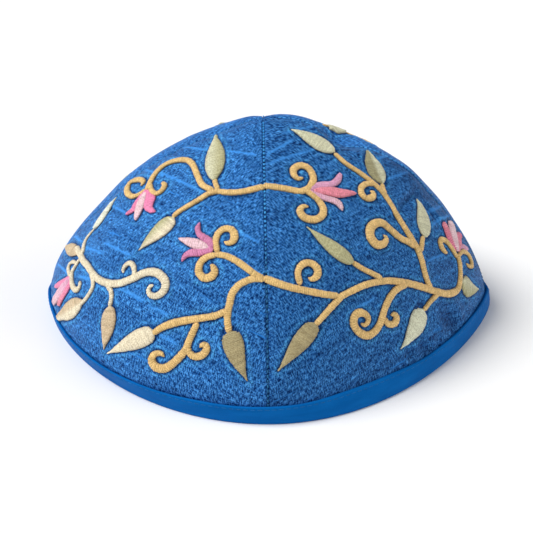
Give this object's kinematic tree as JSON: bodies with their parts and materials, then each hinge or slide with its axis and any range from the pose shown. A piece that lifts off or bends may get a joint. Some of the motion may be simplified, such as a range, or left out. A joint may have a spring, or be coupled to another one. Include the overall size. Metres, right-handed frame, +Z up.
{
  "type": "kippah skullcap",
  "caption": "Domed skullcap of sewn silk gores with a bound rim, embroidered with scrolling vines, leaves and tulips.",
  "frame": {"origin": "centre of the rim on the surface that the cap stands on", "axes": "+Z up toward the top of the cap, +X toward its right tip, -Y toward the front seam"},
  "size_m": [0.1765, 0.1714, 0.0809],
  "materials": {
    "silk": "slubbed blue silk with a soft sheen",
    "binding_tape": "smooth woven tape",
    "gold_thread": "golden tan satin stitch",
    "leaf_thread": "sage and cream satin stitch",
    "flower_thread": "pink satin stitch",
    "seam_thread": "light blue sewing thread"
  },
  "bodies": {
    "root": {"panel_front_right": "silk", "panel_back_right": "silk", "panel_back_left": "silk", "panel_front_left": "silk", "rim_binding": "binding_tape"}
  },
  "joints": []
}
